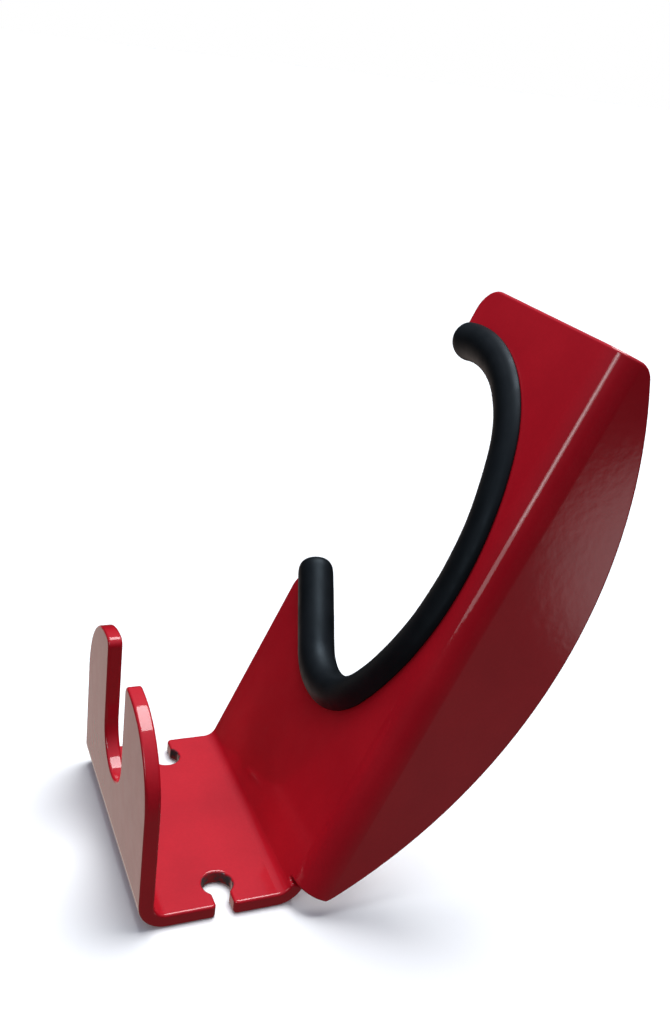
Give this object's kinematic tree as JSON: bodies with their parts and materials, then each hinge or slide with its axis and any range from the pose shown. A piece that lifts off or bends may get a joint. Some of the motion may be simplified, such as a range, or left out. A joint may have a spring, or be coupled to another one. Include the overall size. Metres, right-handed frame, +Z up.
{
  "type": "pole-hung fork bracket",
  "caption": "Folded steel plate bracket that hooks onto an upright pole through a rubber-edged notch and carries a raised fork over a keyhole tray.",
  "frame": {"origin": "on the underside of the tray, midway between its two keyholes", "axes": "+Z up, square to the tray; +X from the fork to the inclined strip; +Y from the flanged side to the open side of the notch"},
  "size_m": [0.0958, 0.0658, 0.1277],
  "materials": {
    "coated_steel": "gloss powder coat",
    "black_rubber": "satin",
    "spring_steel": "bare"
  },
  "bodies": {
    "root": {"bracket_plate": "coated_steel", "edge_trim": "black_rubber", "trim_carrier": "spring_steel"}
  },
  "joints": []
}
